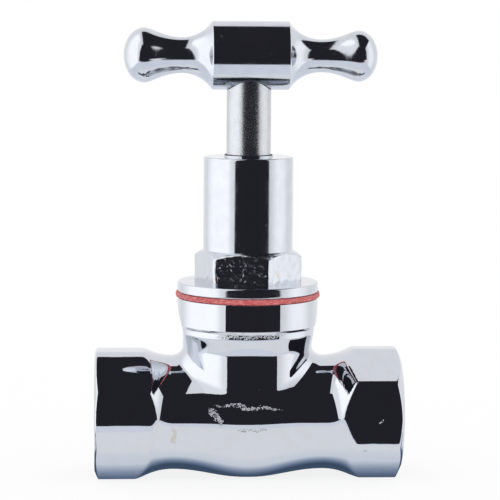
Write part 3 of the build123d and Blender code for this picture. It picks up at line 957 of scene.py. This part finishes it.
class STOPCOCK_OT_washer(bpy.types.Operator):
    """Lays the fibre washer under the flange, its cut edge a little frayed."""

    bl_idname = "stopcock.washer"
    bl_label = "Fibre washer"

    def execute(self, context):
        settings = context.scene.stopcock_shapes
        outer = WASHER_HIGH.x / MM - settings.washer_fray / MM
        bottom, top = WASHER_LOW.z / MM, WASHER_HIGH.z / MM
        outline = ((bottom, WASHER_HOLE_RADIUS), (bottom, outer), (top, outer), (top, WASHER_HOLE_RADIUS))
        shape = turned(
            outline, ORIGIN, Z_AXIS, WASHER_STEPS,
            easing=WASHER_EASING, eased=WASHER_EASED_CORNERS, spacing=WASHER_SPACING,
        )
        edge = [vert for vert in shape.verts if Vector(vert.co.xy).length / MM > outer - WASHER_EASING]
        ripple(edge, WASHER_FRAY_LENGTH, settings.washer_fray / MM)
        colours = context.scene.stopcock_colours
        fibre = red_fibre(colours.fibre, colours.pale_fibre)
        finished("fibre_washer", shape, (fibre,), "body", "red_fibre", "bonnet_washer")
        return {"FINISHED"}


def arm_outline(neck_place, knob_place, length, neck_size, knob_size):
    """Places out from the drum and radii of one arm: a hollow sweep, a slim neck and a rounded knob."""
    rise = DRUM_RADIUS - DRUM_CHAMFER - neck_size
    sweep_radius = (neck_place**2 + rise**2) / (2 * rise)
    sweep_angle = math.asin(neck_place / sweep_radius)
    points = []
    for number in range(ARM_POINTS):
        turn = sweep_angle * (1 - number / ARM_POINTS)
        place = neck_place - sweep_radius * math.sin(turn)
        points.append((place, neck_size + sweep_radius * (1 - math.cos(turn))))
    reach = knob_place - neck_place
    swell = geometry.interpolate_bezier(
        (neck_place, neck_size), (neck_place + ARM_SWELL_START * reach, neck_size),
        (neck_place + ARM_SWELL_END * reach, knob_size), (knob_place, knob_size), ARM_POINTS,
    )
    points += [tuple(point) for point in swell]
    for number in range(1, ARM_POINTS + 1):
        turn = math.pi / 2 * number / ARM_POINTS
        points.append((knob_place + (length - knob_place) * math.sin(turn), knob_size * math.cos(turn)))
    points[-1] = (length, 0.0)
    return points


class STOPCOCK_OT_handle(bpy.types.Operator):
    """Turns the tee handle from one bar and bores it for the stem."""

    bl_idname = "stopcock.handle"
    bl_label = "Tee handle"

    def execute(self, context):
        left = [(-DRUM_LEFT - place, radius) for place, radius in arm_outline(*LEFT_ARM)]
        right = [(DRUM_RIGHT + place, radius) for place, radius in arm_outline(*RIGHT_ARM)]
        drum = [(-DRUM_LEFT + DRUM_CHAMFER, DRUM_RADIUS), (DRUM_RIGHT - DRUM_CHAMFER, DRUM_RADIUS)]
        centre = Z_AXIS * HANDLE_AXIS * MM
        bar = turned(left[::-1] + drum + right, centre, X_AXIS, TURNED_STEPS)
        bottom = HANDLE_AXIS - DRUM_RADIUS
        mouth = STEM_RADIUS + HANDLE_MOUTH_GAP
        hole = (
            (bottom - CUT_OVERRUN, 0.0),
            (bottom - CUT_OVERRUN, mouth),
            (bottom + HANDLE_MOUTH_DEPTH, mouth),
            (bottom + HANDLE_MOUTH_DEPTH, STEM_RADIUS),
            (bottom + HANDLE_HOLE_DEPTH, STEM_RADIUS),
            (bottom + HANDLE_HOLE_DEPTH, 0.0),
        )
        shape = combined(bar, turned(hole, ORIGIN, Z_AXIS, HOLLOW_STEPS), "DIFFERENCE")
        chrome = turned_chrome(context.scene.stopcock_colours.chrome, "X")
        finished("turned_handle", shape, (chrome,), "spindle", "polished_chrome", "tee_handle")
        return {"FINISHED"}


class STOPCOCK_OT_inside(bpy.types.Operator):
    """Finishes the pieces that stay as the frame has them: the spindle, its rings and the jumper."""

    bl_idname = "stopcock.inside"
    bl_label = "Spindle and jumper"

    def execute(self, context):
        colours = context.scene.stopcock_colours
        brass = machined_brass(colours.brass)
        rubber = black_rubber(colours.rubber)
        finishes = {
            "spindle": satin_chrome(colours.stem),
            "dust_seal": rubber,
            "upper_spindle_o_ring": rubber,
            "lower_spindle_o_ring": rubber,
            "jumper": brass,
            "jumper_washer": rubber,
            "jumper_nut": brass,
            "jumper_peg": brass,
        }
        for name, material in finishes.items():
            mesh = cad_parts[name].data
            mesh.materials.clear()
            mesh.materials.append(material)
        return {"FINISHED"}


def stage_sheet(name, corners, material):
    """A flat stage sheet from its corners in order, in metres."""
    shape = bmesh.new()
    shape.faces.new([shape.verts.new(corner) for corner in corners])
    sheet = meshed(name, shape, [material])
    return sheet


def level_sheet(name, left, right, front, rear, height, material):
    """A level stage sheet between its four sides, in metres."""
    corners = [(left, front, height), (right, front, height), (right, rear, height), (left, rear, height)]
    return stage_sheet(name, corners, material)


def side_panel(name, panel, material):
    """An upright stage panel that stands along Y."""
    place, front, top_front, rear, top = panel
    foot = ROOM_FOOT
    corners = [(place, front, foot), (place, rear, foot), (place, rear, top), (place, top_front, top)]
    return stage_sheet(name, corners, material)


def only_in_reflections(sheet):
    """Shows a stage sheet to mirrored rays alone."""
    sheet.visible_camera = False
    sheet.visible_diffuse = False
    sheet.visible_shadow = False
    sheet.visible_transmission = False


def glowing(name, colour):
    """Plain emission for panels and flags, and its tree and light."""
    material, tree = empty_material(name)
    light = add_node(tree, "Emission", {"Color": linear_colour(colour)})
    add_node(tree, "OutputMaterial", {"Surface": light.outputs["Emission"]})
    return material, tree, light


def make_floor():
    """A wide white floor that keeps the object's shadow and that the chrome doesn't mirror."""
    material, tree = empty_material("white_floor")
    matt = add_node(tree, "BsdfDiffuse", {"Color": linear_colour("#FCFCFD")})
    white = add_node(tree, "Emission")
    path = add_node(tree, "LightPath")
    share = together(tree, [path.outputs["Is Camera Ray"], FLOOR_GLOW], "MULTIPLY")
    mixed = add_node(
        tree, "MixShader", {0: share, 1: matt.outputs["BSDF"], 2: white.outputs["Emission"]}
    )
    add_node(tree, "OutputMaterial", {"Surface": mixed.outputs["Shader"]})
    floor = level_sheet("floor", -FLOOR_REACH, FLOOR_REACH, -FLOOR_REACH, FLOOR_REACH, FLOOR_HEIGHT, material)
    floor.visible_glossy = False


def soft_panel(name, front, full, fading, rear, edge_strength, strength):
    """Light of a cloth panel: full in its middle and softer towards its front and rear, in metres along Y."""
    material, tree, light = glowing(name, "#FFFFFF")
    place = add_node(tree, "TexCoord").outputs["Object"]
    along = add_node(tree, "SeparateXYZ", {"Vector": place}).outputs["Y"]
    rising = add_node(
        tree, "MapRange",
        {"Value": along, "From Min": front, "From Max": full, "To Min": edge_strength, "To Max": strength},
        interpolation_type="SMOOTHSTEP",
    )
    falling = add_node(
        tree, "MapRange",
        {"Value": along, "From Min": fading, "From Max": rear, "To Min": strength, "To Max": 1.0},
        interpolation_type="SMOOTHSTEP",
    )
    weaker = together(tree, [rising.outputs["Result"], falling.outputs["Result"]], "MINIMUM")
    fill(tree, light, {"Strength": weaker})
    return material


def painted_contact_shadow():
    """Light of the stand: white beside the object, with a blue shadow painted into it close to where it
    touches.
    """
    material, tree, light = glowing("stand_glow_painted_shadow", "#FFFFFF")
    place = add_node(tree, "TexCoord").outputs["Object"]
    across = add_node(tree, "SeparateXYZ", {"Vector": place}).outputs["Y"]
    reach = add_node(tree, "Math", {0: across}, operation="ABSOLUTE")
    scaled = add_node(
        tree, "MapRange",
        {"Value": reach.outputs["Value"], "From Min": CONTACT_START * MM, "From Max": CONTACT_END * MM},
    )
    # painted shadow: the stand's light darkens to blue towards where the object touches
    ramp = add_node(tree, "ValToRGB", {"Fac": scaled.outputs["Result"]})
    stops = ramp.color_ramp.elements
    stops.remove(stops[1])
    for number, (position, colour) in enumerate(CONTACT_SHADOW_COLOURS):
        if number:
            stops.new(position)
        stops[number].color = linear_colour(colour)
    fill(tree, light, {"Color": ramp.outputs["Color"]})
    return material


def make_reflections():
    """Soft panels at both sides, a pale table below and the dark room in front that the chrome mirrors."""
    table = glowing("pale_table", "#F4F7FF")[0]
    dark = glowing("dark_room", "#2A292F")[0]
    left = soft_panel(
        "left_panel_cloth", front=-0.83, full=-0.45, fading=0.1, rear=0.9, edge_strength=1.1, strength=1.5
    )
    right = soft_panel(
        "right_panel_cloth",
        front=-0.66, full=-0.15, fading=0.02, rear=0.55, edge_strength=0.95, strength=1.32,
    )
    left_dark = [
        (LEFT_DARK_PLACE, ROOM_FRONT, ROOM_FOOT),
        (LEFT_DARK_PLACE, LEFT_DARK_REAR, ROOM_FOOT),
        (LEFT_DARK_PLACE, ROOM_FRONT, ROOM_TOP),
    ]
    front_wall = [
        (ROOM_LEFT, ROOM_FRONT, ROOM_FOOT),
        (ROOM_RIGHT, ROOM_FRONT, ROOM_FOOT),
        (ROOM_RIGHT, ROOM_FRONT, ROOM_TOP),
        (ROOM_LEFT, ROOM_FRONT, ROOM_TOP),
    ]
    for sheet in (
        # the stand glows white, with a painted shadow near the object
        level_sheet("stand", -STAND_SIDE, STAND_SIDE, STAND_FRONT, STAND_REAR, 0.0, painted_contact_shadow()),
        level_sheet("table", -TABLE_SIDE, TABLE_SIDE, TABLE_FRONT, TABLE_REAR, TABLE_HEIGHT, table),
        side_panel("left_panel", LEFT_PANEL, left),
        side_panel("right_panel", RIGHT_PANEL, right),
        stage_sheet("left_dark", left_dark, dark),
        level_sheet("front_floor", -TABLE_SIDE, TABLE_SIDE, ROOM_FRONT, TABLE_FRONT, TABLE_HEIGHT, dark),
        stage_sheet("front_wall", front_wall, dark),
        level_sheet("roof", ROOF_LEFT, ROOM_RIGHT, ROOM_FRONT, ROOF_REAR, ROOM_TOP, dark),
    ):
        only_in_reflections(sheet)


def make_camera(settings):
    """The photograph's camera, a little above the handle and turned to the left."""
    data = bpy.data.cameras.new("camera")
    data.lens = settings.lens
    camera = bpy.data.objects.new("camera", data)
    bpy.context.scene.collection.objects.link(camera)
    stand = Matrix.Rotation(-settings.turn, 4, "Z")
    stand @= Matrix.Translation((settings.side_step, -settings.distance, settings.height))
    tilt = Matrix.Rotation(math.pi / 2 - settings.pitch, 4, "X")
    camera.matrix_world = stand @ tilt @ Matrix.Rotation(settings.roll, 4, "Z")
    bpy.context.scene.camera = camera


class STOPCOCK_OT_stage(bpy.types.Operator):
    """Lays the floor, hangs the panels and flags that the chrome mirrors, and sets the camera."""

    bl_idname = "stopcock.stage"
    bl_label = "Stage"

    def execute(self, context):
        settings = context.scene.stopcock_stage
        make_floor()
        make_reflections()
        make_camera(settings)
        world = bpy.data.worlds.new("white_studio")
        context.scene.world = world
        world.use_nodes = True
        background = world.node_tree.nodes["Background"]
        background.inputs["Color"].default_value = (1.0, 1.0, 1.0, 1.0)
        background.inputs["Strength"].default_value = 1.0
        context.scene.view_settings.view_transform = "Standard"
        return {"FINISHED"}


class STOPCOCK_PT_pieces(bpy.types.Panel):
    """Lists the pieces, the stage and their settings."""

    bl_idname = "STOPCOCK_PT_pieces"
    bl_label = "Stopcock"
    bl_space_type = "VIEW_3D"
    bl_region_type = "UI"
    bl_category = "Stopcock"

    def draw(self, context):
        for group in (getattr(context.scene, name) for name in GROUPS):
            for name in group.bl_rna.properties.keys():
                if name not in ("rna_type", "name"):
                    self.layout.prop(group, name)
        for operator in OPERATORS:
            self.layout.operator(operator.bl_idname)


GROUPS = {
    "stopcock_shapes": ShapeSettings,
    "stopcock_colours": ColourSettings,
    "stopcock_stage": StageSettings,
}
OPERATORS = (
    STOPCOCK_OT_body,
    STOPCOCK_OT_socket_threads,
    STOPCOCK_OT_bonnet,
    STOPCOCK_OT_washer,
    STOPCOCK_OT_handle,
    STOPCOCK_OT_inside,
    STOPCOCK_OT_stage,
)
CLASSES = (*GROUPS.values(), *OPERATORS, STOPCOCK_PT_pieces)


def register():
    """Adds the classes and their settings."""
    for item in CLASSES:
        bpy.utils.register_class(item)
    for name, group in GROUPS.items():
        setattr(bpy.types.Scene, name, bpy.props.PointerProperty(type=group))


def unregister():
    """Takes the settings and classes away."""
    for name in GROUPS:
        delattr(bpy.types.Scene, name)
    for item in reversed(CLASSES):
        bpy.utils.unregister_class(item)


def main():
    """Registers the add-on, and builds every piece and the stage."""
    register()
    bpy.ops.stopcock.body()
    bpy.ops.stopcock.socket_threads()
    bpy.ops.stopcock.bonnet()
    bpy.ops.stopcock.washer()
    bpy.ops.stopcock.handle()
    bpy.ops.stopcock.inside()
    bpy.ops.stopcock.stage()


if __name__ == "__main__":
    main()
